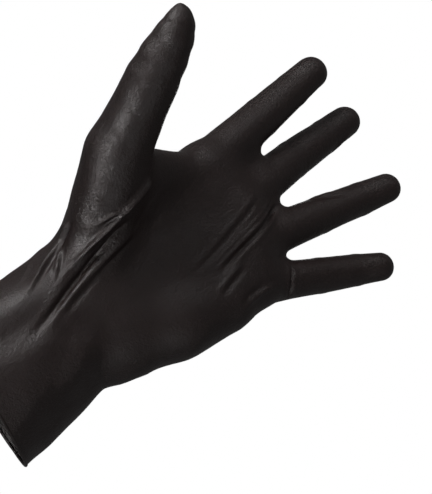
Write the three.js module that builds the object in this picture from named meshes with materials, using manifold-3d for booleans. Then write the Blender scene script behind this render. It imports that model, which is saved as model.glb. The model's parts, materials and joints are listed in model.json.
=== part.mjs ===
// A disposable nitrile glove, in the shape that a spread left hand gives it.
//
// +Z runs from the hem to the fingertips, the palm faces -Y and the thumb is on the -X side.
// The origin is on the flat underside of the rolled hem, in the middle of its palm side.
// The glove is one dipped film with a rolled hem. It is divided where a hand folds it: each
// stretch between two folds is one stiff section, and each fold is a short section of its own.
import * as THREE from 'three';
import { mergeVertices } from 'three/addons/utils/BufferGeometryUtils.js';
import Module from 'manifold-3d';

const wasm = await Module();
wasm.setup();

// ---------- driving dimensions, mm and degrees ----------

const FILM = 0.2; // thickness of the dipped film
const GAP = 0.3; // between neighbouring sections
const AROUND = 18; // facets around a finger
const ROD_AROUND = 12; // facets around the rods that build up the palm
const PALM_AROUND = 32; // facets around the palm and cuff
const PAST_END = 2; // how far a hollow runs past an open end

const BEAD = { radius: 0.9, flatHeight: 0.35 }; // rolled hem, and how high its worn flat is cut
const CUFF_LENGTH = 56; // hem to the middle of the wrist
const HEM = { x: 8, halfWidth: 36, halfDepth: 27 };
const WRIST = { x: 0.5, halfWidth: 32, halfDepth: 20.5 };
const BAND_TOP = -34; // top of the stiff cuff band, from the wrist
const STRETCH_LENGTH = 12; // film that lengthens when the cuff is pulled
const WRIST_FOLD = 10; // half the height of the fold across the wrist

// The palm narrows from side to side and front to back between the wrist and the knuckles.
const PALM_SLICES = [
  { z: -4, x: 0.5, y: 0, halfWidth: 32, halfDepth: 20 },
  { z: 12, x: 3, y: -1, halfWidth: 36, halfDepth: 18.5 },
  { z: 34, x: 4.5, y: -2, halfWidth: 39.5, halfDepth: 17 },
  { z: 58, x: 4.5, y: -1, halfWidth: 41, halfDepth: 14.5 },
  { z: 76, x: 2.5, y: 0, halfWidth: 40, halfDepth: 13 },
  { z: 90, x: -2, y: 0.5, halfWidth: 33, halfDepth: 10 },
];

// Each finger starts at its knuckle, is splayed to the side and lifted back from the palm.
// fold is the distance from the knuckle to the fold at the finger's root.
const FINGERS = {
  index: { knuckle: [-26.5, 0, 86], splay: -10, lift: 12, length: 86, radius: 11.2, fold: 32 },
  middle: { knuckle: [-5, 1, 90], splay: -3.2, lift: 19.5, length: 95, radius: 11.2, fold: 31 },
  ring: { knuckle: [15, 0, 84], splay: 9.8, lift: 12, length: 93, radius: 10.7, fold: 27.5 },
  little: { knuckle: [32, -2, 76], splay: 23.5, lift: 10, length: 75, radius: 9.9, fold: 21 },
};
const BONES = [0.53, 0.29, 0.18]; // a finger's bones, as shares of its length
const TAPER = [1, 0.91, 0.83, 0.74]; // its radius at the knuckle, two joints and the tip
const REST_CURL = 6.8; // bend at each of a finger's two joints at rest
const ROOT_FOLD = 3.9; // half length of the fold at a finger's root
const MIDDLE_FOLD = 0.5; // half length of the fold at its middle joint, as a share of its radius
const TIP_FOLD = 0.4; // the same at its tip joint
const SIDE_CLEARANCE = 0.6; // between a finger and the web beside it
const ROOM = { depth: 60, length: 40 }; // cut from the webs for a finger to fold through

// How far the web's edge stands from each knuckle, along the finger on either side of it.
const WEBS = [
  { fingers: ['index', 'middle'], reach: [31, 29] },
  { fingers: ['middle', 'ring'], reach: [23, 28] },
  { fingers: ['ring', 'little'], reach: [17, 20] },
];
const WEB_RADIUS = 6.5;
const KNUCKLE_FILL = { start: 6, radius: 10 }; // palm between two knuckles, from past them to the web
const ROOT_START = -14; // where a finger's root begins inside the palm, from its knuckle

// The thumb's joints, from its root in the palm to the centre of its rounded tip.
const THUMB = {
  joints: [[-20, -6, 16], [-51.5, -30.5, 42.5], [-68.5, -52.5, 64], [-80.5, -69, 79.5]],
  radii: [17, 14, 11.4, 6.8],
  foldAxis: [0, 0.7, 0.72],
  foldLength: 4.6,
};
const THUMB_BASE_FOLD = { normal: [-0.8, -0.6, 0], near: 20, far: 28 };
// The web beside the thumb is filled by rods from its first bone to the palm under the index
// finger: `shift` moves them all towards the wrist, as a share of that bone's length.
const THUMB_WEB = { radius: 10, steps: 4, palmStart: [-16.5, 0, 6], shift: 0.08 };

// ---------- helpers ----------

const vec = (a) => new THREE.Vector3(...a);
const radians = THREE.MathUtils.degToRad;
const lerp = THREE.MathUtils.lerp;
const UP = new THREE.Vector3(0, 0, 1);
const ACROSS = new THREE.Vector3(1, 0, 0);

function toManifold(geometry) {
  const bare = geometry.clone();
  bare.deleteAttribute('normal');
  bare.deleteAttribute('uv');
  const merged = mergeVertices(bare, 1e-4);
  const mesh = new wasm.Mesh({
    numProp: 3,
    vertProperties: Float32Array.from(merged.attributes.position.array),
    triVerts: Uint32Array.from(merged.index.array),
  });
  return new wasm.Manifold(mesh);
}

function toGeometry(solid) {
  const mesh = solid.getMesh();
  const geometry = new THREE.BufferGeometry();
  geometry.setAttribute('position', new THREE.BufferAttribute(mesh.vertProperties, 3));
  geometry.setIndex(new THREE.BufferAttribute(mesh.triVerts, 1));
  geometry.computeVertexNormals();
  return geometry;
}

function join(solids) {
  return solids.reduce((whole, solid) => whole.add(solid));
}

// Keeps what lies more than `distance` along `normal` from the point `from`.
function keepBeyond(solid, from, normal, distance) {
  const n = normal.clone().normalize();
  return solid.trimByPlane(n.toArray(), from.dot(n) + distance);
}

// Keeps what lies less than `distance` along `normal` from the point `from`.
function keepBefore(solid, from, normal, distance) {
  return keepBeyond(solid, from, normal.clone().negate(), -distance);
}

// A slice of a limb: an oval of radii rx (along `across`) and ry, facing along `facing`.
function slice(at, facing, rx, ry = rx, across = ACROSS) {
  const z = facing.clone().normalize();
  const y = z.clone().cross(across).normalize();
  return { at, z, y, x: y.clone().cross(z), rx, ry };
}

// A closed solid whose skin passes through a row of slices.
function loft(slices, around = AROUND) {
  const last = slices.length - 1;
  const geometry = new THREE.CylinderGeometry(1, 1, last, around, last);
  const positions = geometry.attributes.position;
  for (let i = 0; i < positions.count; i += 1) {
    const s = slices[Math.round(positions.getY(i) + last / 2)];
    const point = s.at.clone();
    point.addScaledVector(s.x, -positions.getX(i) * s.rx);
    point.addScaledVector(s.y, positions.getZ(i) * s.ry);
    positions.setXYZ(i, point.x, point.y, point.z);
  }
  return toManifold(geometry);
}

function movedAlong(s, distance) {
  return { ...s, at: s.at.clone().addScaledVector(s.z, distance) };
}

// The hollow inside a lofted film. It runs past the first slice, and past the last if that end
// is open too.
function hollow(slices, openEnd, around) {
  const inner = slices.map((s) => ({ ...s, rx: s.rx - FILM, ry: s.ry - FILM }));
  const last = inner.pop();
  if (openEnd) inner.push(last, movedAlong(last, PAST_END));
  else inner.push(movedAlong(last, -FILM));
  inner.unshift(movedAlong(inner[0], -PAST_END));
  return loft(inner, around);
}

function film(slices, { around = AROUND, openEnd = true } = {}) {
  return loft(slices, around).subtract(hollow(slices, openEnd, around));
}

// A tapered rod with round ends, used to build up the palm.
function limb(from, to, r0, r1) {
  const length = from.distanceTo(to);
  const profile = new THREE.Path()
    .absarc(0, 0, r0, -Math.PI / 2, 0)
    .absarc(0, length, r1, 0, Math.PI / 2)
    .getPoints(2);
  const geometry = new THREE.LatheGeometry(profile, ROD_AROUND);
  const along = to.clone().sub(from).normalize();
  const turn = new THREE.Quaternion().setFromUnitVectors(new THREE.Vector3(0, 1, 0), along);
  geometry.applyMatrix4(new THREE.Matrix4().compose(from, turn, new THREE.Vector3(1, 1, 1)));
  return toManifold(geometry);
}

// ---------- skeletons that the film is stretched over ----------

function fingerSkeleton({ knuckle, splay, lift, length, radius, fold }) {
  const side = new THREE.Vector3(Math.cos(radians(splay)), 0, -Math.sin(radians(splay)));
  const direction = new THREE.Vector3(Math.sin(radians(splay)), 0, Math.cos(radians(splay)));
  direction.applyAxisAngle(side, -radians(lift));
  const joints = [vec(knuckle)];
  const directions = [];
  for (const share of BONES) {
    directions.push(direction.clone());
    joints.push(joints.at(-1).clone().addScaledVector(direction, share * length));
    direction.applyAxisAngle(side, radians(REST_CURL));
  }
  return { side, joints, directions, radii: TAPER.map((t) => t * radius), fold };
}

function thumbSkeleton() {
  const joints = THUMB.joints.map(vec);
  const directions = [0, 1, 2].map((i) => joints[i + 1].clone().sub(joints[i]).normalize());
  return { side: vec(THUMB.foldAxis), joints, directions, radii: THUMB.radii };
}

const fingers = Object.fromEntries(
  Object.entries(FINGERS).map(([name, finger]) => [name, fingerSkeleton(finger)]),
);
const thumb = thumbSkeleton();

// A slice across bone `bone` of a digit, `distance` from the bone's near end.
function boneSlice(digit, bone, distance) {
  const { joints, directions, radii, side } = digit;
  const share = distance / joints[bone].distanceTo(joints[bone + 1]);
  const at = joints[bone].clone().addScaledVector(directions[bone], distance);
  return slice(at, directions[bone], lerp(radii[bone], radii[bone + 1], share), undefined, side);
}

function boneLength(digit, bone) {
  return digit.joints[bone].distanceTo(digit.joints[bone + 1]);
}

// ---------- the sections of a digit ----------

// The stiff film over a bone, between the folds at its ends.
function boneFilm(digit, bone, from, to) {
  return film([boneSlice(digit, bone, from), boneSlice(digit, bone, to)]);
}

// The rounded end of a digit.
function tipFilm(digit, from) {
  const bone = digit.directions.length - 1;
  const length = boneLength(digit, bone);
  const end = boneSlice(digit, bone, length);
  const slices = [boneSlice(digit, bone, from), end];
  for (const degrees of [25, 48, 66, 80]) {
    const radius = end.rx * Math.cos(radians(degrees));
    const at = end.at.clone().addScaledVector(end.z, end.rx * Math.sin(radians(degrees)));
    slices.push({ ...end, at, rx: radius, ry: radius });
  }
  return film(slices, { openEnd: false });
}

// The fold at the joint before bone `bone`, `half` long on each side of the joint.
function foldFilm(digit, bone, half) {
  const before = boneSlice(digit, bone - 1, boneLength(digit, bone - 1) - half + GAP);
  const after = boneSlice(digit, bone, half - GAP);
  const facing = digit.directions[bone - 1].clone().add(digit.directions[bone]);
  const radius = digit.radii[bone];
  const middle = slice(digit.joints[bone].clone(), facing, radius, radius, digit.side);
  return film([before, middle, after]);
}

function fingerSections(name) {
  const finger = fingers[name];
  const middleFold = MIDDLE_FOLD * finger.radii[1];
  const tipFold = TIP_FOLD * finger.radii[2];
  const root = film([
    boneSlice(finger, 0, finger.fold - ROOT_FOLD + GAP),
    boneSlice(finger, 0, finger.fold + ROOT_FOLD - GAP),
  ]);
  return {
    [`${name}_root_fold`]: root,
    [`${name}_proximal`]: boneFilm(
      finger, 0, finger.fold + ROOT_FOLD, boneLength(finger, 0) - middleFold),
    [`${name}_middle_fold`]: foldFilm(finger, 1, middleFold),
    [`${name}_middle`]: boneFilm(finger, 1, middleFold, boneLength(finger, 1) - tipFold),
    [`${name}_tip_fold`]: foldFilm(finger, 2, tipFold),
    [`${name}_tip`]: tipFilm(finger, tipFold),
  };
}

function thumbSections() {
  const half = THUMB.foldLength;
  return {
    thumb_middle_fold: foldFilm(thumb, 1, half),
    thumb_middle: boneFilm(thumb, 1, half, boneLength(thumb, 1) - half),
    thumb_tip_fold: foldFilm(thumb, 2, half),
    thumb_tip: tipFilm(thumb, half),
  };
}

// ---------- palm ----------

function palmBody(inset) {
  const slices = PALM_SLICES.map(({ z, x, y, halfWidth, halfDepth }) => (
    slice(new THREE.Vector3(x, y, z), UP, halfWidth - inset, halfDepth - inset)));
  return loft(slices, PALM_AROUND);
}

// The root of a finger, past the knuckle and past the start of its fold.
function fingerRoot(finger, inset) {
  const past = finger.fold + ROOT_FOLD;
  const start = boneSlice(finger, 0, ROOT_START);
  const end = boneSlice(finger, 0, past);
  return limb(start.at, end.at, start.rx - inset, end.rx - inset);
}

function pointOnBone(digit, bone, distance) {
  return digit.joints[bone].clone().addScaledVector(digit.directions[bone], distance);
}

// The web between two fingers, with its edge `reach` from each knuckle, and the palm below it.
function fingerWeb({ fingers: names, reach }, inset) {
  const [a, b] = names.map((name, i) => (
    pointOnBone(fingers[name], 0, reach[i] - WEB_RADIUS)));
  const [low, high] = names.map((name) => pointOnBone(fingers[name], 0, KNUCKLE_FILL.start));
  const middle = low.lerp(high, 0.5);
  const top = a.clone().lerp(b, 0.5);
  return limb(a, b, WEB_RADIUS - inset, WEB_RADIUS - inset)
    .add(limb(middle, top, KNUCKLE_FILL.radius - inset, WEB_RADIUS + 1 - inset));
}

// The ball of the thumb, and the web from it to the root of the index finger.
function thumbRoot(inset) {
  const parts = [limb(thumb.joints[0], thumb.joints[1], thumb.radii[0] - inset, thumb.radii[1] - inset)];
  const palmStart = vec(THUMB_WEB.palmStart);
  const palmEnd = fingers.index.joints[0];
  for (let i = 1; i <= THUMB_WEB.steps; i += 1) {
    const share = i / THUMB_WEB.steps - THUMB_WEB.shift;
    const a = thumb.joints[0].clone().lerp(thumb.joints[1], share);
    const b = palmStart.clone().lerp(palmEnd, share);
    parts.push(limb(a, b, THUMB_WEB.radius - inset, THUMB_WEB.radius - inset));
  }
  return join(parts);
}

function palmSolid(inset) {
  return join([
    palmBody(inset),
    ...Object.values(fingers).map((finger) => fingerRoot(finger, inset)),
    ...WEBS.map((web) => fingerWeb(web, inset)),
    thumbRoot(inset),
  ]);
}

// The room that a folding finger needs beside its web, from its root fold outwards.
function fingerRoom(finger) {
  const width = 2 * (boneSlice(finger, 0, finger.fold).rx + SIDE_CLEARANCE);
  const geometry = new THREE.BoxGeometry(width, ROOM.depth, ROOM.length);
  const z = finger.directions[0];
  const x = finger.side;
  const y = z.clone().cross(x);
  const at = pointOnBone(finger, 0, finger.fold - ROOT_FOLD + ROOM.length / 2);
  geometry.applyMatrix4(new THREE.Matrix4().makeBasis(x, y, z).setPosition(at));
  return toManifold(geometry);
}

function palmSections() {
  const root = thumb.joints[0];
  const normal = vec(THUMB_BASE_FOLD.normal);
  const { near, far } = THUMB_BASE_FOLD;
  let hand = palmSolid(0).subtract(palmSolid(FILM));
  hand = keepBeyond(hand, new THREE.Vector3(), UP, WRIST_FOLD + GAP / 2);
  for (const finger of Object.values(fingers)) hand = hand.subtract(fingerRoom(finger));
  const ball = keepBeyond(hand, root, normal, near + GAP);
  const thumbEnd = boneLength(thumb, 0) - THUMB.foldLength;
  return {
    palm: keepBefore(hand, root, normal, near),
    thumb_base_fold: keepBefore(ball, root, normal, far - GAP),
    thumb_base: keepBefore(keepBeyond(ball, root, normal, far), root, thumb.directions[0], thumbEnd),
  };
}

// ---------- cuff and wrist ----------

// A slice of the cuff at height z, which is negative below the wrist.
function cuffSlice(z) {
  const share = THREE.MathUtils.clamp(-z / CUFF_LENGTH, 0, 1);
  const halfWidth = lerp(WRIST.halfWidth, HEM.halfWidth, share);
  const halfDepth = lerp(WRIST.halfDepth, HEM.halfDepth, Math.sqrt(share));
  const x = lerp(WRIST.x, HEM.x, share);
  return slice(new THREE.Vector3(x, 0, z), UP, halfWidth, halfDepth);
}

function cuffFilm(from, to) {
  const middle = (from + to) / 2;
  return film([from, middle, to].map(cuffSlice), { around: PALM_AROUND });
}

// The hem rolled up on itself, with a worn flat on its underside: a ring stretched to the
// hem's oval.
function bead() {
  const hem = cuffSlice(-CUFF_LENGTH);
  const ringRadius = 2;
  const geometry = new THREE.TorusGeometry(ringRadius, 1, 8, PALM_AROUND * 1.5);
  const positions = geometry.attributes.position;
  for (let i = 0; i < positions.count; i += 1) {
    const [x, y] = [positions.getX(i), positions.getY(i)];
    const turn = Math.atan2(y, x);
    const outward = new THREE.Vector2(hem.ry * Math.cos(turn), hem.rx * Math.sin(turn)).normalize();
    const push = BEAD.radius * (Math.hypot(x, y) - ringRadius);
    positions.setXYZ(
      i,
      hem.at.x + hem.rx * Math.cos(turn) + push * outward.x,
      hem.at.y + hem.ry * Math.sin(turn) + push * outward.y,
      -CUFF_LENGTH + BEAD.radius * (1 + positions.getZ(i)) - BEAD.flatHeight,
    );
  }
  return keepBeyond(toManifold(geometry), new THREE.Vector3(), UP, -CUFF_LENGTH);
}

function cuffSections() {
  const beadTop = -CUFF_LENGTH + 2 * BEAD.radius - BEAD.flatHeight;
  const stretchTop = BAND_TOP + STRETCH_LENGTH;
  return {
    cuff_bead: bead(),
    cuff_band: cuffFilm(beadTop + GAP, BAND_TOP),
    cuff_stretch_film: cuffFilm(BAND_TOP + GAP, stretchTop - GAP),
    wrist_sleeve: cuffFilm(stretchTop, -WRIST_FOLD),
    wrist_fold: wristFold(),
  };
}

function wristFold() {
  const bottom = cuffSlice(-WRIST_FOLD + GAP);
  const palm = PALM_SLICES[1];
  const share = (WRIST_FOLD - PALM_SLICES[0].z) / (palm.z - PALM_SLICES[0].z);
  const mix = (key) => lerp(PALM_SLICES[0][key], palm[key], share);
  const at = new THREE.Vector3(mix('x'), mix('y'), WRIST_FOLD - GAP);
  const top = slice(at, UP, mix('halfWidth'), mix('halfDepth'));
  return film([bottom, cuffSlice(0), top], { around: PALM_AROUND });
}

// ---------- the glove ----------

function filmMaterial(name) {
  const colour = name === 'cuff_bead' ? 0x171514 : 0x1f1c1a;
  return new THREE.MeshStandardMaterial({ color: colour, roughness: 0.42, metalness: 0 });
}

function glove() {
  const sections = {
    ...cuffSections(),
    ...palmSections(),
    ...thumbSections(),
    ...Object.assign({}, ...Object.keys(FINGERS).map(fingerSections)),
  };
  const group = new THREE.Group();
  group.position.set(-HEM.x, HEM.halfDepth, CUFF_LENGTH);
  for (const [name, solid] of Object.entries(sections)) {
    const mesh = new THREE.Mesh(toGeometry(solid), filmMaterial(name));
    mesh.name = name;
    group.add(mesh);
  }
  return group;
}

const group = glove();
export default group;
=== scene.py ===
"""Looks of a black nitrile glove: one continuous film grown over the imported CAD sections.

The film is the zero level of a distance field built from rounded rods along the fingers, palm and
cuff, whose places and radii are read from the CAD nodes. It is meshed, given its folds and creases,
and divided between the CAD bodies at places where the film beside each cut follows the same body.
"""
import json
import math

import bpy
import numpy as np
from mathutils import Matrix, Vector


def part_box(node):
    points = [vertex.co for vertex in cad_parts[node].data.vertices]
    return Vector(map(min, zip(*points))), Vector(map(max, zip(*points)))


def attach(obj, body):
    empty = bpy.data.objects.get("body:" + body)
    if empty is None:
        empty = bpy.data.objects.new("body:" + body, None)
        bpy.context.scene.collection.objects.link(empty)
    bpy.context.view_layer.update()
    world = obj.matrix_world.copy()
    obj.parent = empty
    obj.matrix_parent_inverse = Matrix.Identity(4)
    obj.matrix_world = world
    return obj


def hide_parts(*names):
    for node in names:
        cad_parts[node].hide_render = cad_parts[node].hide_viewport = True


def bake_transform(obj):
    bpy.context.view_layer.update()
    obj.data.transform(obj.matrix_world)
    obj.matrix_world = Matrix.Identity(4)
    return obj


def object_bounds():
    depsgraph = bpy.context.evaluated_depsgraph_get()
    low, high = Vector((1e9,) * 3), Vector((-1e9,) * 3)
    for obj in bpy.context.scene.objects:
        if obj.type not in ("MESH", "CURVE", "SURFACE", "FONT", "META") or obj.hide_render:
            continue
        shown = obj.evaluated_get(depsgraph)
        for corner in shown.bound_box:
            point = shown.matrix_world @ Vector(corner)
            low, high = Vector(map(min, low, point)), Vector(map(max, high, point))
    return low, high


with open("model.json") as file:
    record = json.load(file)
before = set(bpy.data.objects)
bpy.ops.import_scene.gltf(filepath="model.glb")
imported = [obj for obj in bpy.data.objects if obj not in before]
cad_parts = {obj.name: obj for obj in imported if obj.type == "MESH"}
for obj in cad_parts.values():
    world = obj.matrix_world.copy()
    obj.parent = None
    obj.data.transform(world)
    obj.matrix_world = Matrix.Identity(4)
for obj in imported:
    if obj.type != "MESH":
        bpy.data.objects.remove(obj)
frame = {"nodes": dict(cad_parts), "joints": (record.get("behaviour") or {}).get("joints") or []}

CAD_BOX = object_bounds()
MM = 0.001

# ---------- driving values, millimetres and degrees ----------

CELL = 0.85  # size of the mesh's faces
FILM = 0.25  # thickness of the film
FAR = 40.0  # what the field holds away from every shape
MARGIN = 9.0  # room around a shape in which it softens into its neighbours

FINGERS = ("index", "middle", "ring", "little")
KNUCKLE_BACK = {"index": 32, "middle": 31, "ring": 27.5, "little": 21}  # root fold to knuckle
TIP_NARROWING = 0.89  # radius of a fingertip, as a share of the radius at its last joint
THUMB_ROOT_RADIUS = 14
# The thumb's end, from its last joint to a soft point at the nail's corner: (share of the way to
# the tip, offset to the palm's side, radius).
THUMB_END = ((0, -0.4, 11.3), (0.3, -0.3, 10.1), (0.6, -0.1, 8.4),
             (0.76, -0.6, 6.7), (0.86, -1.5, 4.9), (0.94, -3, 2.4))
# How slim the film is over each digit's joints, from root to tip, as a share of the CAD's radius.
SLIMNESS = {"thumb": (1, 0.93, 0.94), "index": (1.02, 0.96, 0.95, 0.98),
            "middle": (1.02, 0.97, 0.96, 0.98), "ring": (1.02, 0.96, 0.94, 0.96),
            "little": (1, 0.96, 0.95, 0.97)}

# The palm's rods, at each knuckle and halfway between knuckles: radius at the wrist and at the end.
KNUCKLE_ROD = (12.5, 11.5)
BETWEEN_ROD = (12, 11)
PALM_AT_WRIST = 0.62  # how wide the rods spread at the wrist, as a share of the knuckles' spread
PALM_START = 6  # height above the wrist at which they start
# The heel of the hand on the little-finger side: (place from the wrist, radius).
HEEL = (((20, -3, 12), 12), ((28, -3, 34), 13), ((33, -3, 58), 11.5))

# Each web's edge stands this far from the knuckles on either side of it.
WEBS = {("index", "middle"): (31, 29), ("middle", "ring"): (23, 28), ("ring", "little"): (17, 20)}
WEB_RADIUS = 5.5
# The film that fills in below each web: radius at the knuckles and at the web's edge.
BELOW_WEB_ROD = (9.5, 6.5)
# Film between the thumb and the index finger's knuckle: (share of the way out along the thumb and
# along the index finger's bone, radius, and how far it stands to the palm's side).
THUMB_WEB = ((0.12, 0.12, 10, 4), (0.35, 0.35, 10, 4), (0.6, 0.6, 9.5, 4), (0.81, 0.82, 8.5, 2.5),
             (0.92, 0.98, 6.5, 0))
# How the wrist narrows inside the palm: (height above the wrist, share of its width, of its depth).
WRIST_INTO_PALM = ((7, 0.96, 0.95), (15, 0.87, 0.8), (24, 0.76, 0.62), (34, 0.62, 0.42))

# How widely each kind of shape melts into its neighbours.
PALM_SOFTNESS = 12
DIGIT_SOFTNESS = 0.8
JOIN_SOFTNESS = 6
WEB_SOFTNESS = 3
BELOW_WEB_SOFTNESS = 4
THUMB_WEB_SOFTNESS = 8

# Half the length of film that bends at each joint, as a share of the radius there.
MIDDLE_BEND = 0.54
TIP_BEND = 0.5
THUMB_BEND = 0.55
# The bend at each finger's root: half its length, how far beyond the joint its middle is, and how
# far it leans, in degrees, so that the webs beside it stay with the palm. Above zero, the film
# starts to bend further out on the little-finger side. Below zero, on the thumb side.
ROOT_BEND = {"index": 3.9, "middle": 5, "ring": 4.6, "little": 4.2}
ROOT_SHIFT = {"index": 0.6, "middle": 1.4, "ring": 1.4, "little": 0.8}
ROOT_LEAN = {"index": 18, "middle": -16, "ring": -22, "little": -22}
CUT_SLACK = 0.5  # the film is cut this far before it starts to bend
# The film bends in two places across the ball of the thumb: along this direction, and between these
# distances from the joint at the thumb's root.
ACROSS_THUMB_BALL = (-0.8, -0.6, 0)
PALM_TO_BALL = (20.5, 34)
BALL_TO_THUMB = (35, 50)


# ---------- what the frame says ----------

def node_points(name):
    vertices = frame["nodes"][name].data.vertices
    co = np.empty(len(vertices) * 3)
    vertices.foreach_get("co", co)
    return co.reshape(-1, 3) / MM


def node_centre(name):
    return node_points(name).mean(axis=0)


def joint(name):
    return next(j for j in frame["joints"] if j["name"] == name)


def joint_place(name):
    return np.array(joint(name)["pos_m"]) / MM


def joint_axis(name):
    axis = np.array(joint(name)["axis"])
    return axis / np.linalg.norm(axis)


def unit(v):
    return v / np.linalg.norm(v)


def radius_about(name, point, direction):
    """Largest distance of a node's vertices from a line, which is its outer radius."""
    offset = node_points(name) - point
    offset -= np.outer(offset @ direction, direction)
    return np.linalg.norm(offset, axis=1).max()


class Digit:
    """A finger or the thumb: its joints from root to tip centre, radii and bend axis."""

    def __init__(self, name):
        self.name = name
        thumb = name == "thumb"
        self.axis = joint_axis(f"{name}_middle_fold")
        root = joint_place("thumb_base_fold") if thumb else node_centre(f"{name}_root_fold")
        middle = node_centre(f"{name}_middle_fold")
        last = node_centre(f"{name}_tip_fold")
        tip_points = node_points(f"{name}_tip") - last
        end = unit(tip_points.mean(axis=0))
        self.radii = [
            0,
            radius_about(f"{name}_middle_fold", middle, unit(last - root)),
            radius_about(f"{name}_tip_fold", last, end),
        ]
        self.radii.append(self.radii[2] * TIP_NARROWING)
        self.length = (tip_points @ end).max()
        if thumb:
            self.radii[0] = THUMB_ROOT_RADIUS
        else:
            root_direction = unit(middle - root)
            self.radii[0] = radius_about(f"{name}_root_fold", root, root_direction)
            self.knuckle = root - root_direction * KNUCKLE_BACK[name]
        self.joints = [root, middle, last, last + end * (self.length - self.radii[3])]
        self.directions = [unit(b - a) for a, b in zip(self.joints, self.joints[1:])]
        # the palm side of the digit, square to each bone
        self.palmar = [unit(np.cross(self.axis, d)) for d in self.directions]


digits = {name: Digit(name) for name in FINGERS + ("thumb",)}
wrist = joint_place("wrist_fold")


# ---------- distance field ----------

class Field:
    """Distances in mm on a grid of points, negative inside the shapes added to it."""

    def __init__(self, low, high):
        self.low = np.floor(np.array(low) / CELL) * CELL
        counts = np.ceil((np.array(high) - self.low) / CELL).astype(int) + 1
        self.values = np.full(counts, FAR, np.float32)

    def block(self, low, high):
        """The part of the grid inside a box, as slices and coordinates."""
        first = np.clip(((low - self.low) / CELL).astype(int), 0, None)
        last = np.minimum(((high - self.low) / CELL).astype(int) + 2, self.values.shape)
        axes = [self.low[i] + np.arange(first[i], last[i]) * CELL for i in range(3)]
        slices = tuple(slice(a, b) for a, b in zip(first, last))
        return slices, np.meshgrid(*axes, indexing="ij", sparse=True)

    def join(self, slices, distance, softness):
        self.values[slices] = soft_min(self.values[slices], distance, softness)

    def add_rod(self, a, b, r0, r1, softness):
        """A rod with round ends that narrows from r0 at a to r1 at b."""
        a, b = np.array(a, float), np.array(b, float)
        reach = max(r0, r1) + MARGIN
        slices, (x, y, z) = self.block(np.minimum(a, b) - reach, np.maximum(a, b) + reach)
        along = b - a
        x, y, z = x - a[0], y - a[1], z - a[2]
        t = np.clip((x * along[0] + y * along[1] + z * along[2]) / max(along @ along, 1e-9), 0, 1)
        squared = (x - t * along[0]) ** 2 + (y - t * along[1]) ** 2 + (z - t * along[2]) ** 2
        self.join(slices, np.sqrt(squared) - (r0 + (r1 - r0) * t), softness)

    def add_sleeve(self, ovals, softness):
        """An upright oval tube, solid inside, through ovals of (z, x, y, half width, half depth)."""
        ovals = np.array(sorted(ovals))
        reach = ovals[:, 3].max() + MARGIN
        middle = ovals[:, 1:3].mean(axis=0)
        low = np.array([middle[0] - reach, middle[1] - reach, ovals[0, 0]])
        high = np.array([middle[0] + reach, middle[1] + reach, ovals[-1, 0] + 3 * MARGIN])
        slices, (x, y, z) = self.block(low, high)
        cx, cy, a, b = (np.interp(z, ovals[:, 0], ovals[:, i]) for i in range(1, 5))
        u, v = (x - cx) / a, (y - cy) / b
        size = np.sqrt(u ** 2 + v ** 2)
        slope = np.sqrt((u / a) ** 2 + (v / b) ** 2) + 1e-6
        distance = np.maximum((size - 1) * size / slope, -b)
        above = np.maximum(z - ovals[-1, 0], 0)
        above = above ** 2 / (above + MARGIN)  # it starts gently, so that it leaves no edge
        self.join(slices, np.hypot(np.maximum(distance, 0), above) + np.minimum(distance, 0), softness)

    def at(self, points):
        """The field at points, by linear interpolation."""
        place = (points - self.low) / CELL
        place = np.clip(place, 0, np.array(self.values.shape) - 1.001)
        base = place.astype(int)
        share = place - base
        result = np.zeros(len(points))
        for corner in np.ndindex(2, 2, 2):
            weight = np.prod(np.where(corner, share, 1 - share), axis=1)
            i, j, k = (base + corner).T
            result += weight * self.values[i, j, k]
        return result

    def slope_at(self, points):
        steps = np.eye(3) * CELL * 0.75
        rises = [self.at(points + step) - self.at(points - step) for step in steps]
        return np.stack(rises, axis=1) / (1.5 * CELL)


def soft_min(a, b, softness):
    overlap = np.maximum(softness - np.abs(a - b), 0)
    return np.minimum(a, b) - overlap * overlap / (4 * softness)


def edge_oval(name, top):
    """(z, x, y, half width, half depth) of a cuff node's upper or lower edge."""
    points = node_points(name)
    z = points[:, 2].max() if top else points[:, 2].min()
    edge = points[np.abs(points[:, 2] - z) < 0.5]
    low, high = edge.min(axis=0), edge.max(axis=0)
    return (z, *(low + high)[:2] / 2, *(high - low)[:2] / 2)


def hand_field():
    low, high = (np.array(corner) / MM for corner in CAD_BOX)
    hand = Field(low - 4, high + 4)
    digit_field = Field(low - 4, high + 4)
    add_cuff(hand)
    add_palm(hand)
    for digit in digits.values():
        add_digit(digit_field, digit)
    hand.values = soft_min(hand.values, digit_field.values, JOIN_SOFTNESS)
    return hand


def add_cuff(field):
    ovals = [edge_oval("cuff_band", False), edge_oval("cuff_band", True),
             edge_oval("wrist_sleeve", False), edge_oval("wrist_sleeve", True),
             edge_oval("wrist_fold", True)]
    hem, (z, x, y, a, b) = ovals[0], ovals[-1]
    ovals.append((field.low[2] - 1, *hem[1:]))
    # it narrows on into the palm, so that no edge shows where it ends
    ovals += [(z + up, x, y, a * wide, b * deep) for up, wide, deep in WRIST_INTO_PALM]
    field.add_sleeve(ovals, PALM_SOFTNESS)


def halfway(points):
    return [(a + b) / 2 for a, b in zip(points, points[1:])]


def add_palm(field):
    knuckles = [digits[name].knuckle for name in FINGERS]
    starts = [wrist + np.array([PALM_AT_WRIST * (k - wrist)[0], 0, PALM_START]) for k in knuckles]
    for start, knuckle in zip(starts, knuckles):
        field.add_rod(start, knuckle, *KNUCKLE_ROD, PALM_SOFTNESS)
    for start, middle in zip(halfway(starts), halfway(knuckles)):
        field.add_rod(start, middle, *BETWEEN_ROD, PALM_SOFTNESS)
    for (a, ra), (b, rb) in zip(HEEL, HEEL[1:]):
        field.add_rod(wrist + np.array(a), wrist + np.array(b), ra, rb, PALM_SOFTNESS)
    add_thumb_ball(field, starts[0], knuckles[0])
    for pair, reach in WEBS.items():
        add_web(field, [digits[name] for name in pair], reach)


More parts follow.
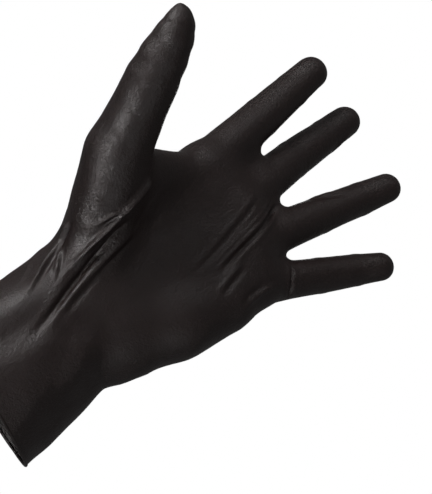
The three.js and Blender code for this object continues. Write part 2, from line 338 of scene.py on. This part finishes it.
def add_web(field, pair, reach):
    ends = [digit.knuckle + digit.directions[0] * (r - WEB_RADIUS) for digit, r in zip(pair, reach)]
    field.add_rod(*ends, WEB_RADIUS, WEB_RADIUS, WEB_SOFTNESS)
    between_knuckles = (pair[0].knuckle + pair[1].knuckle) / 2
    field.add_rod(between_knuckles, sum(ends) / 2, *BELOW_WEB_ROD, BELOW_WEB_SOFTNESS)


def add_thumb_ball(field, index_start, index_knuckle):
    root, middle = digits["thumb"].joints[:2]
    slim = SLIMNESS["thumb"][1] * digits["thumb"].radii[1]
    # a millimetre under the thumb's own surface, which it only rounds off
    field.add_rod(root, middle, THUMB_ROOT_RADIUS - 1, slim - 1, PALM_SOFTNESS)
    # taut film from the thumb to the palm, over the hollow between them
    for thumb_share, index_share, radius, forward in THUMB_WEB:
        offset = np.array([0, -forward, 0])
        field.add_rod(root + (middle - root) * thumb_share + offset,
                      index_start + (index_knuckle - index_start) * index_share + offset,
                      radius, radius, THUMB_WEB_SOFTNESS)


def add_digit(field, digit):
    start = digit.joints[0] if digit.name == "thumb" else digit.knuckle
    radii = [radius * share for radius, share in zip(digit.radii, SLIMNESS[digit.name])]
    chain = list(zip([start] + digit.joints[1:], radii))
    if digit.name == "thumb":
        chain = chain[:2] + [thumb_end_place(digit, *row) for row in THUMB_END]
    for (a, ra), (b, rb) in zip(chain, chain[1:]):
        field.add_rod(a, b, ra, rb, DIGIT_SOFTNESS)


def thumb_end_place(digit, share, forward, radius):
    along = digit.directions[2] * share * digit.length
    return digit.joints[2] + along + digit.palmar[2] * forward, radius


# ---------- mesh ----------

def surface_net(field):
    """Vertices and quads of the field's zero level, one vertex in each cell that it crosses."""
    inside = field.values < 0
    low_corner = [slice(0, n - 1) for n in inside.shape]
    high_corner = [slice(1, n) for n in inside.shape]
    count = np.zeros([n - 1 for n in inside.shape], np.uint8)
    for corner in np.ndindex(2, 2, 2):
        pick = tuple(high_corner[i] if c else low_corner[i] for i, c in enumerate(corner))
        count += inside[pick]
    crossed = (count > 0) & (count < 8)
    cells = np.argwhere(crossed)
    index = np.full(crossed.shape, -1, np.int32)
    index[crossed] = np.arange(len(cells))
    return cell_vertices(field, cells), net_quads(inside, index)


def cell_vertices(field, cells):
    total = np.zeros((len(cells), 3))
    hits = np.zeros(len(cells))
    for axis in range(3):
        step = np.eye(3, dtype=int)[axis]
        others = [np.eye(3, dtype=int)[i] for i in range(3) if i != axis]
        for p, q in np.ndindex(2, 2):
            start = cells + others[0] * p + others[1] * q
            f0 = field.values[tuple(start.T)]
            f1 = field.values[tuple((start + step).T)]
            crosses = (f0 < 0) != (f1 < 0)
            share = f0[crosses] / (f0[crosses] - f1[crosses])
            total[crosses] += start[crosses] + share[:, None] * step
            hits[crosses] += 1
    return field.low + total / hits[:, None] * CELL


def net_quads(inside, index):
    quads = []
    for axis in range(3):
        u, w = (axis + 1) % 3, (axis + 2) % 3
        lower = np.moveaxis(inside, axis, 0)[:-1]
        upper = np.moveaxis(inside, axis, 0)[1:]
        edges = np.argwhere(lower != upper)
        order = [axis] + [i for i in range(3) if i != axis]
        place = np.empty_like(edges)
        place[:, order] = edges
        keep = (place[:, u] > 0) & (place[:, w] > 0)
        keep &= (place[:, u] < index.shape[u]) & (place[:, w] < index.shape[w])
        place = place[keep]
        outward = inside[tuple(place.T)]
        du, dw = np.eye(3, dtype=int)[u], np.eye(3, dtype=int)[w]
        around = ((1, 1), (0, 1), (0, 0), (1, 0))
        corners = [index[tuple((place - a * du - b * dw).T)] for a, b in around]
        quad = np.stack(corners, axis=1)
        quad[~outward] = quad[~outward, ::-1]
        quads.append(quad)
    quads = np.concatenate(quads)
    return quads[(quads >= 0).all(axis=1)]


def settle(field, vertices):
    """Moves vertices onto the zero level."""
    for _ in range(2):
        slope = field.slope_at(vertices)
        size = np.maximum((slope ** 2).sum(axis=1), 0.1)
        vertices = vertices - slope * (field.at(vertices) / size)[:, None]
    return vertices


def vertex_normals(vertices, quads):
    a, b, c, d = (vertices[quads[:, i]] for i in range(4))
    face = np.cross(c - a, d - b)
    total = np.zeros_like(vertices)
    for i in range(4):
        np.add.at(total, quads[:, i], face)
    return total / np.maximum(np.linalg.norm(total, axis=1), 1e-12)[:, None]


# ---------- folds, creases and unevenness ----------

# Folds on the palm side. Each follows a smooth line through (x, z) points. Across it stand ridges,
# and grooves of negative height: (distance left of the line as it runs, half width, height).
# The fades are the shares of the line over which the fold grows and dies away.
FOLDS = [
    # the film pulled taut over the hollow beside the thumb's ball
    {"line": [(-43, 105), (-39, 96), (-36, 88), (-34, 78), (-29, 64), (-24, 51), (-20, 40)],
     "across": [(0, 0.95, 2.8)], "fades": (0.06, 0.7)},
    {"line": [(-36.5, 91), (-37, 84), (-37, 78), (-36.5, 71)],
     "across": [(0, 0.8, 1.2), (1.7, 0.8, -0.5)], "fades": (0.4, 0.5)},
    {"line": [(-33, 91), (-30.5, 80), (-27.5, 70), (-24, 61), (-20.5, 51), (-16, 39), (-11, 24)],
     "across": [(1.1, 1.5, -2.6)], "fades": (0.2, 0.35)},
    {"line": [(-28, 91), (-26.5, 83), (-24.5, 75), (-22.5, 68), (-20.5, 60), (-16.5, 48), (-11, 33)],
     "across": [(0.5, 2.1, 1.4), (3.6, 1.2, -0.7)], "fades": (0.15, 0.4)},
    # from the webs beside the ring finger down the palm
    {"line": [(-11, 158), (-7, 145), (-2, 129), (2, 112), (4, 96)],
     "across": [(0, 1.2, -0.7), (-2.4, 1.6, 0.35)], "fades": (0.2, 0.5)},
    {"line": [(-2, 166), (1, 155), (4, 142), (7, 127), (11, 112)],
     "across": [(0, 1.1, -1.2), (-2.3, 0.8, 0.9), (-4.6, 0.8, 0.45), (2.2, 1.3, 0.5)],
     "fades": (0.15, 0.3)},
    {"line": [(11, 130), (13, 121), (17, 108)],
     "across": [(0, 1.4, 1.1), (2.8, 1.3, -0.8)], "fades": (0.4, 0.4)},
    # below the little finger
    {"line": [(30, 141), (28, 128), (31, 114)],
     "across": [(0, 1.3, 0.9), (-2.6, 1.2, -0.6)], "fades": (0.4, 0.4)},
    {"line": [(26, 153), (31, 149), (35, 146), (39, 143)],
     "across": [(0, 0.8, -1.0), (1.9, 0.9, 0.3), (-1.8, 0.8, 0.15)], "fades": (0.3, 0.2)},
    # from the thumb side of the wrist towards the cuff
    {"line": [(-45, 67), (-42, 63), (-39, 58), (-33.5, 49), (-29, 40), (-24.5, 33)],
     "across": [(0, 0.75, 1.8), (1.8, 0.9, -0.8)], "fades": (0.06, 0.5)},
    {"line": [(-40, 60), (-33.5, 56), (-29, 52), (-24, 46)],
     "across": [(0, 0.7, 0.9), (1.6, 0.8, -0.35)], "fades": (0.3, 0.5)},
    {"line": [(-42, 50), (-36, 42), (-31, 33)],
     "across": [(0, 0.7, 0.5), (1.6, 0.8, -0.3)], "fades": (0.4, 0.4)},
    # across the thumb's middle joint
    {"line": [(-64, 88), (-59, 95), (-53, 102)],
     "across": [(0, 1.8, -0.25), (3.4, 2, 0.2)], "fades": (0.5, 0.5)},
    # along the ring and middle fingers
    {"line": [(0, 176), (4, 187), (9, 199), (12, 210)],
     "across": [(0, 0.9, 0.7), (-2, 1.2, -0.6)], "fades": (0.4, 0.4)},
    {"line": [(-8, 218), (-10, 226), (-13, 235)],
     "across": [(0, 0.9, 0.6), (-2, 1, -0.4)], "fades": (0.4, 0.4)},
]


FOLD_REACH = 9  # no fold is wider than this on either side of its line
FOLD_END = 2  # how far a fold runs on past the ends of its line
# The hollow at the side of the wrist where the thumb's ball begins.
HOLLOW_PLACE = (-41.5, 20, 58.8)
HOLLOW_RADIUS = 7.5
HOLLOW_DEPTH = 2.6
# At each joint: depth of the crease under it, height of the knuckle over it, depth of its wrinkles.
THUMB_JOINT = (0.05, 0.1, 0.05)
FINGER_JOINT = (0.14, 0.6, 0.25)
WRINKLES = (-3.4, -1.7, 0, 1.6, 3.3)  # places of the wrinkles along the digit, from the joint
# The cuff hangs loose between these heights, the first of them above the hem's top.
LOOSE_START = 14
LOOSE_END = (38, 62)
CUFF_FOLD_HEIGHT = 0.75
WRIST_RING_HEIGHT = 0.3
WRIST_RINGS = 54  # height of the middle of the shallow rings
# Unevenness of the film: (height, length of its waves, seed).
UNEVENNESS = ((0.13, 18, 3), (0.02, 5, 4))
SETTLED = (3, 12)  # the unevenness grows between these heights, so that the hem stays even


def fade_in(values, low, high):
    t = np.clip((values - low) / (high - low), 0, 1)
    return t * t * (3 - 2 * t)


def hump(values, half_width):
    return np.exp(-(values / half_width) ** 2)


def smooth_line(points, count=70):
    """A cubic through or near the points, as many points along it."""
    points = np.array(points, float)
    steps = np.linalg.norm(np.diff(points, axis=0), axis=1)
    travel = np.concatenate([[0], np.cumsum(steps)]) / steps.sum()
    degree = min(3, len(points) - 1)
    t = np.linspace(0, 1, count)
    return np.stack([np.polyval(np.polyfit(travel, points[:, i], degree), t) for i in range(2)], axis=1)


def fold_height(points, fold):
    """Height of one fold at (x, z) points."""
    line = smooth_line(fold["line"])
    run = np.gradient(line, axis=0)
    run /= np.linalg.norm(run, axis=1)[:, None]
    offsets = points[:, None] - line[None]
    nearest = np.argmin((offsets ** 2).sum(axis=2), axis=1)
    offset, heading = offsets[np.arange(len(points)), nearest], run[nearest]
    past = (offset * heading).sum(axis=1)
    left = heading[:, 0] * offset[:, 1] - heading[:, 1] * offset[:, 0]
    share = nearest / (len(line) - 1)
    first, last = fold["fades"]
    strength = fade_in(share, 0, first) * fade_in(1 - share, 0, last) * hump(past, FOLD_END)
    return strength * sum(h * hump(left - d, w) for d, w, h in fold["across"])


def fold_heights(vertices, normals):
    height = np.zeros(len(vertices))
    facing = fade_in(-normals[:, 1], -0.1, 0.35)
    flat = vertices[:, (0, 2)]
    for fold in FOLDS:
        low = np.min(fold["line"], axis=0) - FOLD_REACH
        high = np.max(fold["line"], axis=0) + FOLD_REACH
        near = np.flatnonzero((facing > 0) & (flat > low).all(axis=1) & (flat < high).all(axis=1))
        height[near] += facing[near] * fold_height(flat[near], fold)
    return height


def digit_heights(vertices, normals):
    """Each joint's creases, knuckle and wrinkles, and the nail and pad of each finger's tip."""
    height = np.zeros(len(vertices))
    nearest = np.argmin([chain_distance(d, vertices) for d in digits.values()], axis=0)
    for number, digit in enumerate(digits.values()):
        mine = np.flatnonzero(nearest == number)
        points, out = vertices[mine], normals[mine]
        depth, knuckle, wrinkle = THUMB_JOINT if digit.name == "thumb" else FINGER_JOINT
        for i in (1, 2):
            along = (points - digit.joints[i]) @ unit(digit.directions[i - 1] + digit.directions[i])
            near = fade_in(digit.radii[i] * 1.6 - chain_distance(digit, points), 0, 3)
            under = fade_in(out @ digit.palmar[i], 0, 0.6) * near
            over = fade_in(-out @ digit.palmar[i], 0.1, 0.7) * near
            height[mine] -= under * depth * hump(along, 1.2)
            wrinkles = sum(hump(along - d, 0.55) for d in WRINKLES)
            height[mine] += over * (knuckle * hump(along, 6) - wrinkle * wrinkles * hump(along, 4))
        height[mine] += tip_height(digit, points, out)
    return height


def tip_height(digit, points, out):
    """The pad on the palm side of a fingertip, and the nail's plate under the film opposite it."""
    if digit.name == "thumb":
        return 0
    offset = points - digit.joints[2]
    reach = np.linalg.norm(digit.joints[3] - digit.joints[2]) + digit.radii[3]
    along = offset @ digit.directions[2] / reach
    across = np.abs(offset @ unit(np.cross(digit.palmar[2], digit.directions[2]))) / digit.radii[3]
    under = fade_in(out @ digit.palmar[2], 0, 0.8)
    over = fade_in(-out @ digit.palmar[2], 0.1, 0.5)
    pad = under * 0.6 * hump(along - 0.55, 0.3)
    plate = fade_in(along, 0.34, 0.42) * (1 - fade_in(along, 0.93, 1))
    plate *= 1 - fade_in(across, 0.6, 0.78)
    return pad + over * (0.35 * plate - 0.5 * hump(along - 0.6, 0.3))


def waves(points, length, seed, count=9):
    """Smooth random unevenness between about -1 and 1, from waves in random directions."""
    random = np.random.default_rng(seed)
    total = np.zeros(len(points))
    for _ in range(count):
        heading = unit(random.normal(size=3))
        pitch = length * random.uniform(0.7, 1.5)
        total += np.sin(points @ heading * (2 * math.pi / pitch) + random.uniform(0, 2 * math.pi))
    return total / math.sqrt(count)


def cuff_heights(vertices, normals):
    """Soft upright folds where no arm fills the cuff, and shallow rings at the back of the wrist."""
    hem_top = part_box("cuff_bead")[1].z / MM
    z = vertices[:, 2]
    centre = wrist[:2]
    turn = np.arctan2(vertices[:, 1] - centre[1], vertices[:, 0] - centre[0])
    drift = 0.5 * np.sin(z / 11) + 0.3 * np.sin(z / 5 + 2)
    folds = np.sin(5 * turn + drift + 0.8) + 0.6 * np.sin(8 * turn - 1.4 * drift + 2)
    loose = fade_in(z, hem_top, hem_top + LOOSE_START) * (1 - fade_in(z, *LOOSE_END))
    rings = np.sin(z / 2.1 + 1.2 * np.sin(2 * turn + 1)) * hump(z - WRIST_RINGS, 7)
    rings *= fade_in(normals[:, 1], -0.6, 0.5)
    return CUFF_FOLD_HEIGHT * loose * folds + WRIST_RING_HEIGHT * rings


def crumple(vertices, normals):
    """Moves the film's vertices out or in to give it its folds, creases and unevenness."""
    height = fold_heights(vertices, normals) + digit_heights(vertices, normals)
    height += cuff_heights(vertices, normals)
    height -= HOLLOW_DEPTH * hump(np.linalg.norm(vertices - HOLLOW_PLACE, axis=1), HOLLOW_RADIUS)
    uneven = sum(rise * waves(vertices, length, seed) for rise, length, seed in UNEVENNESS)
    height += fade_in(vertices[:, 2], *SETTLED) * uneven
    return vertices + normals * height[:, None]


# ---------- division between the CAD bodies ----------

class Bend:
    """A piece of film between two bodies, the one it starts from and the one it ends on.

    It lies along a direction, from start to end, both in mm from a point, and shows in place of
    the CAD nodes named."""

    def __init__(self, name, bodies, nodes, point, direction, start, end):
        self.name, self.bodies, self.nodes = name, bodies, nodes
        self.point, self.direction = np.array(point, float), unit(np.array(direction, float))
        self.start, self.end = start, end

    def along(self, points):
        return (points - self.point) @ self.direction


def joint_bend(digit, parent, part, i, half):
    direction = digit.directions[i - 1] + digit.directions[i]
    child = f"{digit.name}_{part}"
    return Bend(f"{child}_skin", (f"{digit.name}_{parent}", child), (f"{child}_fold", child),
                digit.joints[i], direction, -half, half)


def root_bend(digit):
    lean = math.radians(ROOT_LEAN[digit.name])
    direction = digit.directions[0] * math.cos(lean) - digit.axis * math.sin(lean)
    middle = ROOT_SHIFT[digit.name]
    reach = ROOT_BEND[digit.name] * math.cos(lean)
    child = f"{digit.name}_proximal"
    return Bend(f"{digit.name}_root_skin", ("palm", child), (f"{digit.name}_root_fold", child),
                digit.joints[0], direction, middle - reach, middle + reach)


def digit_bends(digit):
    if digit.name == "thumb":
        ball = Bend("thumb_middle_skin", ("thumb_base", "thumb_middle"),
                    ("thumb_middle_fold", "thumb_middle"),
                    digit.joints[0], ACROSS_THUMB_BALL, *BALL_TO_THUMB)
        return [ball, joint_bend(digit, "middle", "tip", 2, THUMB_BEND * digit.radii[2])]
    return [root_bend(digit),
            joint_bend(digit, "proximal", "middle", 1, MIDDLE_BEND * digit.radii[1]),
            joint_bend(digit, "middle", "tip", 2, TIP_BEND * digit.radii[2])]


def chain_distance(digit, points):
    """How far points are from a digit's surface, roughly."""
    best = np.full(len(points), 1e9)
    for a, b, r0, r1 in zip(digit.joints, digit.joints[1:], digit.radii, digit.radii[1:]):
        along = b - a
        t = np.clip((points - a) @ along / (along @ along), 0, 1)
        gap = np.linalg.norm(points - a - t[:, None] * along, axis=1) - (r0 + (r1 - r0) * t)
        best = np.minimum(best, gap)
    return best


wrist_low, wrist_high = (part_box("wrist_fold")[i][2] / MM for i in range(2))
stretch_low, stretch_high = (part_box("cuff_stretch_film")[i][2] / MM for i in range(2))
# The wrist's film stops bending below the thumb's ball, which moves with the thumb.
wrist_bend_low, wrist_bend_high = wrist_low - 6, wrist_high - 1
UP = (0, 0, 1)
HAND_BENDS = [
    Bend("cuff_skin", ("cuff", "wrist_sleeve"), ("cuff_band", "cuff_stretch_film"),
         (0, 0, 0), UP, stretch_low, stretch_high),
    Bend("wrist_skin", ("wrist_sleeve", "palm"), ("wrist_sleeve", "wrist_fold"),
         (0, 0, 0), UP, wrist_bend_low, wrist_bend_high),
    Bend("palm_skin", ("palm", "thumb_base"), ("palm", "thumb_base_fold", "thumb_base"),
         digits["thumb"].joints[0], ACROSS_THUMB_BALL, *PALM_TO_BALL),
]
CUFF, WRIST, PALM = range(len(HAND_BENDS))


def divide(vertices, quads):
    """The bend that each quad belongs to: a list of (bend, quads)."""
    centres = vertices[quads].mean(axis=1)
    owner = np.full(len(quads), PALM)
    bends = list(HAND_BENDS)
    cuff_end = (stretch_high + wrist_bend_low) / 2
    owner[centres[:, 2] < wrist_bend_high + CUT_SLACK] = WRIST
    owner[centres[:, 2] < cuff_end] = CUFF
    nearest = np.argmin([chain_distance(d, centres) for d in digits.values()], axis=0)
    for number, digit in enumerate(digits.values()):
        mine = nearest == number
        for bend in digit_bends(digit):
            mine &= bend.along(centres) > bend.start - CUT_SLACK
            owner[mine] = len(bends)
            bends.append(bend)
    return [(bend, quads[owner == i]) for i, bend in enumerate(bends)]


def new_piece(name, co, faces, material):
    """A smooth-shaded object from points in millimetres."""
    mesh = bpy.data.meshes.new(name)
    mesh.from_pydata((co * MM).tolist(), [], faces.tolist())
    mesh.polygons.foreach_set("use_smooth", np.ones(len(faces), bool))
    mesh.update()
    mesh.materials.append(material)
    piece = bpy.data.objects.new(name, mesh)
    bpy.context.scene.collection.objects.link(piece)
    return piece


def film_piece(bend, vertices, normals, quads, material):
    """A piece of film with its real thickness, shown in place of its bend's CAD nodes."""
    used, faces = np.unique(quads, return_inverse=True)
    faces = faces.reshape(-1, 4)
    n = len(used)
    outer, out = vertices[used], normals[used]
    co = np.concatenate([outer, outer - out * FILM])
    rim = rim_quads(faces, n)
    all_faces = np.concatenate([faces, faces[:, ::-1] + n, rim])
    piece = new_piece(bend.name, co, all_faces, material)
    piece.data.normals_split_custom_set_from_vertices(np.concatenate([out, -out]).tolist())
    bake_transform(piece)
    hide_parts(*bend.nodes)


def rim_quads(faces, n):
    """Quads that close the edge between the outer film and the inner, n vertices further on."""
    edges = np.concatenate([faces[:, [i, (i + 1) % 4]] for i in range(4)])
    keys = np.sort(edges, axis=1) @ np.array([n, 1])
    _, first, counts = np.unique(keys, return_index=True, return_counts=True)
    border = edges[first[counts == 1]]
    return np.stack([border[:, 1], border[:, 0], border[:, 0] + n, border[:, 1] + n], axis=1)


# ---------- materials ----------

def shader(name):
    material = bpy.data.materials.new(name)
    material.use_nodes = True
    tree = material.node_tree
    return material, tree, tree.nodes["Principled BSDF"]


def add_node(tree, kind, inputs=None, **settings):
    node = tree.nodes.new(kind)
    for key, value in settings.items():
        setattr(node, key, value)
    for key, value in (inputs or {}).items():
        if isinstance(value, bpy.types.NodeSocket):
            tree.links.new(value, node.inputs[key])
        else:
            node.inputs[key].default_value = value
    return node


def ramp(tree, source, low, high, start, end):
    node = add_node(tree, "ShaderNodeMapRange", {"Value": source, "From Min": low, "From Max": high,
                                                 "To Min": start, "To Max": end})
    return node.outputs["Result"]


DARK_BLACK = (0.0145, 0.0068, 0.006, 1)
LIGHT_BLACK = (0.02, 0.0098, 0.0086, 1)
ROUGHNESS = (0.4, 0.54)


def nitrile_material():
    """Black nitrile: satin, slightly warm, with cloudy patches of sheen and a fine grain."""
    material, tree, bsdf = shader("black_nitrile")
    place = add_node(tree, "ShaderNodeTexCoord").outputs["Object"]
    clouds = add_node(tree, "ShaderNodeTexNoise", {"Vector": place, "Scale": 95, "Detail": 5,
                                                   "Roughness": 0.6}).outputs["Fac"]
    grain = add_node(tree, "ShaderNodeTexNoise", {"Vector": place, "Scale": 1100, "Detail": 3,
                                                  "Roughness": 0.65}).outputs["Fac"]
    crinkle = add_node(tree, "ShaderNodeTexNoise", {"Vector": place, "Scale": 760, "Detail": 4,
                                                    "Roughness": 0.6, "Distortion": 0.6}).outputs["Fac"]
    colour = add_node(tree, "ShaderNodeMix", {"Factor": clouds, "A": DARK_BLACK, "B": LIGHT_BLACK},
                      data_type="RGBA")
    tree.links.new(colour.outputs["Result"], bsdf.inputs["Base Color"])
    tree.links.new(ramp(tree, clouds, 0.3, 0.7, *ROUGHNESS), bsdf.inputs["Roughness"])
    bsdf.inputs["Specular IOR Level"].default_value = 0.5
    fine = add_node(tree, "ShaderNodeBump", {"Height": grain, "Strength": 0.5, "Distance": 0.0003})
    coarse = add_node(tree, "ShaderNodeBump", {"Height": crinkle, "Strength": 0.7, "Distance": 0.0005,
                                               "Normal": fine.outputs["Normal"]})
    tree.links.new(coarse.outputs["Normal"], bsdf.inputs["Normal"])
    return material


# ---------- rolled hem ----------

HEM_AROUND, HEM_ACROSS = 240, 14  # points around the cuff, and around the bead's own section


def hem_bead(material):
    """The hem, rolled up on itself into a bead around the cuff's oval."""
    low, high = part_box("cuff_bead")
    piece = new_piece("hem_bead", hem_points((high.z - low.z) / MM), hem_quads(), material)
    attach(piece, "cuff")
    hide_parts("cuff_bead")


def hem_points(height):
    """Rings of points around the cuff, one after the other around the bead's section."""
    _, x, y, a, b = edge_oval("cuff_band", False)
    turn = np.linspace(0, 2 * math.pi, HEM_AROUND, endpoint=False)
    radius = height / 2 * (1 + 0.08 * np.sin(7 * turn + 1) + 0.05 * np.sin(19 * turn))
    outward = np.stack([b * np.cos(turn), a * np.sin(turn)], axis=1)
    outward /= np.linalg.norm(outward, axis=1)[:, None]
    co = []
    for step in range(HEM_ACROSS):
        angle = 2 * math.pi * step / HEM_ACROSS
        # the roll's outer lip makes a shallow groove along its outside
        bulge = radius * (1 - 0.16 * math.exp(-((angle - 0.5) / 0.35) ** 2))
        push = bulge * math.cos(angle)
        co.append(np.stack([x + a * np.cos(turn) + push * outward[:, 0],
                            y + b * np.sin(turn) + push * outward[:, 1],
                            height / 2 + bulge * math.sin(angle)], axis=1))
    co = np.concatenate(co)
    co[:, 2] = np.maximum(co[:, 2], 0)
    return co


def hem_quads():
    i, j = np.meshgrid(np.arange(HEM_AROUND), np.arange(HEM_ACROSS), indexing="ij")
    i2, j2 = (i + 1) % HEM_AROUND, (j + 1) % HEM_ACROSS
    ring, next_ring = j * HEM_AROUND, j2 * HEM_AROUND
    return np.stack([ring + i, ring + i2, next_ring + i2, next_ring + i], axis=-1).reshape(-1, 4)


# ---------- glove ----------

def build_glove():
    field = hand_field()
    vertices, quads = surface_net(field)
    vertices = settle(field, vertices)
    vertices = crumple(vertices, vertex_normals(vertices, quads))
    bead_middle = (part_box("cuff_bead")[0].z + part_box("cuff_bead")[1].z) / 2 / MM
    quads = quads[(vertices[quads][:, :, 2] > bead_middle).all(axis=1)]
    normals = vertex_normals(vertices, quads)
    film = nitrile_material()
    for bend, part in divide(vertices, quads):
        film_piece(bend, vertices, normals, part, film)
    hem_bead(film)


# ---------- studio ----------

CAMERA = {"azimuth": -3.6, "elevation": -19.6, "roll": 58.2, "distance": 414.5, "lens": 64.5}
CAMERA_SHIFT = (0.054, -0.007)
CAMERA_TARGET = wrist + np.array([-0.5, 0, 60])  # middle of the palm

# Soft lamps, placed in metres from the palm as the camera sees it: (name, sideways, upward, towards
# the camera, size, power).
LAMPS = (
    ("key", -0.46, -0.13, 0.62, 0.34, 90),
    ("top left", -0.42, 0.7, 0.42, 0.4, 6.5),
    ("top right", 0.3, 0.8, 0.42, 0.5, 1.2),
    ("low", 0.15, -0.6, 0.75, 0.6, 1.6),
    ("behind", 0, 0, -0.9, 0.5, 2),
)
WORLD_ON_FILM = 0.14  # how bright the white surroundings are, as the film reflects them
FLOOR_SIDE = 3.0
FLOOR_DROP = 0.0005  # metres below the hem


def camera_basis():
    azimuth, elevation, roll = (math.radians(CAMERA[k]) for k in ("azimuth", "elevation", "roll"))
    back = Vector((math.sin(azimuth) * math.cos(elevation),
                   -math.cos(azimuth) * math.cos(elevation), math.sin(elevation)))
    right = (-back).cross(Vector((0, 0, 1))).normalized()
    up = right.cross(-back)
    tilted_right = right * math.cos(roll) + up * math.sin(roll)
    tilted_up = up * math.cos(roll) - right * math.sin(roll)
    return tilted_right, tilted_up, back


def add_camera():
    right, up, back = camera_basis()
    data = bpy.data.cameras.new("camera")
    data.lens = CAMERA["lens"]
    data.shift_x, data.shift_y = CAMERA_SHIFT
    data.clip_start, data.clip_end = 0.01, 20
    camera = bpy.data.objects.new("camera", data)
    place = Vector(CAMERA_TARGET * MM) + back * CAMERA["distance"] * MM
    camera.matrix_world = Matrix.Translation(place) @ Matrix((right, up, back)).transposed().to_4x4()
    bpy.context.scene.collection.objects.link(camera)
    bpy.context.scene.camera = camera


def add_lamp(name, sideways, upward, towards, size, power):
    right, up, back = camera_basis()
    target = Vector(CAMERA_TARGET * MM)
    data = bpy.data.lights.new(name, "AREA")
    data.size, data.energy = size, power
    lamp = bpy.data.objects.new(name, data)
    offset = right * sideways + up * upward + back * towards
    lamp.location = target + offset
    lamp.rotation_mode = "QUATERNION"
    lamp.rotation_quaternion = (-offset).to_track_quat("-Z", "Y")
    bpy.context.scene.collection.objects.link(lamp)


def add_floor():
    """A pale floor under the hem, seen from above only, so that it never hides the glove."""
    mesh = bpy.data.meshes.new("floor")
    corners = [(-1, -1), (1, -1), (1, 1), (-1, 1)]
    mesh.from_pydata([(x * FLOOR_SIDE, y * FLOOR_SIDE, -FLOOR_DROP) for x, y in corners], [],
                     [(0, 1, 2, 3)])
    material, tree, bsdf = shader("pale_floor")
    bsdf.inputs["Base Color"].default_value = (0.82, 0.82, 0.82, 1)
    bsdf.inputs["Roughness"].default_value = 0.9
    # it glows a little to stay pale in a studio that is dim around the film
    bsdf.inputs["Emission Color"].default_value = (1, 1, 1, 1)
    bsdf.inputs["Emission Strength"].default_value = 0.42
    clear = add_node(tree, "ShaderNodeBsdfTransparent")
    below = add_node(tree, "ShaderNodeNewGeometry").outputs["Backfacing"]
    mix = add_node(tree, "ShaderNodeMixShader", {0: below, 1: bsdf.outputs[0], 2: clear.outputs[0]})
    tree.links.new(mix.outputs[0], tree.nodes["Material Output"].inputs["Surface"])
    mesh.materials.append(material)
    floor = bpy.data.objects.new("floor", mesh)
    bpy.context.scene.collection.objects.link(floor)
    floor.visible_diffuse = floor.visible_glossy = False


def add_world():
    """White all round as the camera sees it, dimmer as the film reflects it."""
    world = bpy.data.worlds.new("studio")
    world.use_nodes = True
    tree = world.node_tree
    seen = add_node(tree, "ShaderNodeLightPath").outputs["Is Camera Ray"]
    tree.nodes["Background"].inputs["Color"].default_value = (1, 1, 1, 1)
    strength = ramp(tree, seen, 0, 1, WORLD_ON_FILM, 1.0)
    tree.links.new(strength, tree.nodes["Background"].inputs["Strength"])
    bpy.context.scene.world = world
    bpy.context.scene.view_settings.view_transform = "Standard"


build_glove()
add_camera()
for lamp in LAMPS:
    add_lamp(*lamp)
add_floor()
add_world()
